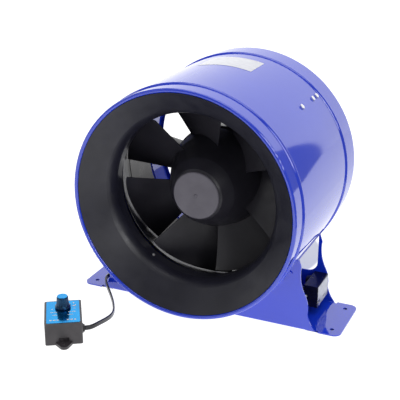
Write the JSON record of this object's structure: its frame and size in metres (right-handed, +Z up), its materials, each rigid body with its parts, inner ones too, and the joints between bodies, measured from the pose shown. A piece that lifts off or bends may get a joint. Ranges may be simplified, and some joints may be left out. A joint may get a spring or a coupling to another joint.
{
  "type": "inline duct fan",
  "caption": "Round mixed-flow inline duct fan on a folded stand, with a junction box and a speed controller on a flat lead.",
  "frame": {"origin": "centre of the four foot holes, on the underside of the stand", "axes": "+Z up, +Y the way the air leaves, +X to the right seen from the inlet; the fan's axis is parallel to Y at a height of 184.2 mm"},
  "size_m": [0.397, 0.3642, 0.3435],
  "materials": {
    "blue_paint": "gloss candy blue enamel",
    "black_moulding": "satin black moulding",
    "cap_grey": "satin dark grey",
    "zinc_steel": "bright zinc plate",
    "label_foil": "matt silver foil",
    "shaft_steel": "ground steel",
    "bearing_steel": "polished",
    "core_steel": "varnished laminations",
    "magnet_steel": "ground ferrite",
    "enamelled_wire": "enamelled copper wire",
    "motor_alloy": "cast and turned",
    "circuit_board": "solder mask",
    "electronic_parts": "moulded",
    "brass_spacer": "turned",
    "black_controller": "black, semi gloss",
    "controller_blue": "printed film",
    "cord_black": "soft PVC sheath",
    "gland_black": "nylon",
    "plug_white": "nylon",
    "terminal_nylon": "nylon"
  },
  "bodies": {
    "fan": {"casing": "blue_paint", "stand": "blue_paint", "stand_saddle": "blue_paint", "junction_box": "black_controller", "box_lid": "black_controller", "housing_screws": "zinc_steel", "vane_screws": "zinc_steel", "throat_screw": "zinc_steel", "box_screws": "zinc_steel", "lid_screw": "zinc_steel", "can_screws": "zinc_steel", "tail_cone_screws": "zinc_steel", "controller_screws": "zinc_steel", "potentiometer_nut": "zinc_steel", "rating_label": "label_foil", "box_plate": "label_foil", "inlet_bell": "black_moulding", "impeller_housing": "black_moulding", "guide_vanes": "black_moulding", "tail_cone": "black_moulding", "motor_can": "motor_alloy", "motor_end_shield": "motor_alloy", "front_bearing": "bearing_steel", "rear_bearing": "bearing_steel", "stator_core": "core_steel", "stator_winding": "enamelled_wire", "board_standoffs": "brass_spacer", "driver_board": "circuit_board", "controller_board": "circuit_board", "driver_parts": "electronic_parts", "board_parts": "electronic_parts", "potentiometer": "motor_alloy", "controller_case": "black_controller", "controller_lid": "black_controller", "controller_label": "controller_blue", "lead_grommet": "gland_black", "controller_lead": "cord_black", "lead_tail": "cord_black", "lead_coil": "cord_black", "coil_tie": "cord_black", "motor_lead": "cord_black", "motor_lead_grommet": "gland_black", "lead_gland": "gland_black", "mains_gland": "gland_black", "blanking_plug": "plug_white", "terminal_block": "terminal_nylon"},
    "rotor": {"impeller": "black_moulding", "hub_cap": "cap_grey", "shaft_nut": "zinc_steel", "shaft_washer": "zinc_steel", "motor_shaft": "shaft_steel", "rotor_core": "core_steel", "rotor_magnets": "magnet_steel", "shaft_circlip": "shaft_steel"},
    "knob": {"speed_knob": "black_controller", "knob_cap": "controller_blue", "potentiometer_shaft": "motor_alloy"}
  },
  "joints": [
    {"name": "impeller_spin", "type": "hinge", "parent": "fan", "child": "rotor", "pos_m": [0, 0, 0.1842], "axis": [0, 1, 0], "continuous": true},
    {"name": "knob_turn", "type": "hinge", "parent": "fan", "child": "knob", "pos_m": [-0.15253, -0.17937, 0.04], "axis": [0, 0, 1], "range_deg": [-150, 150]}
  ]
}
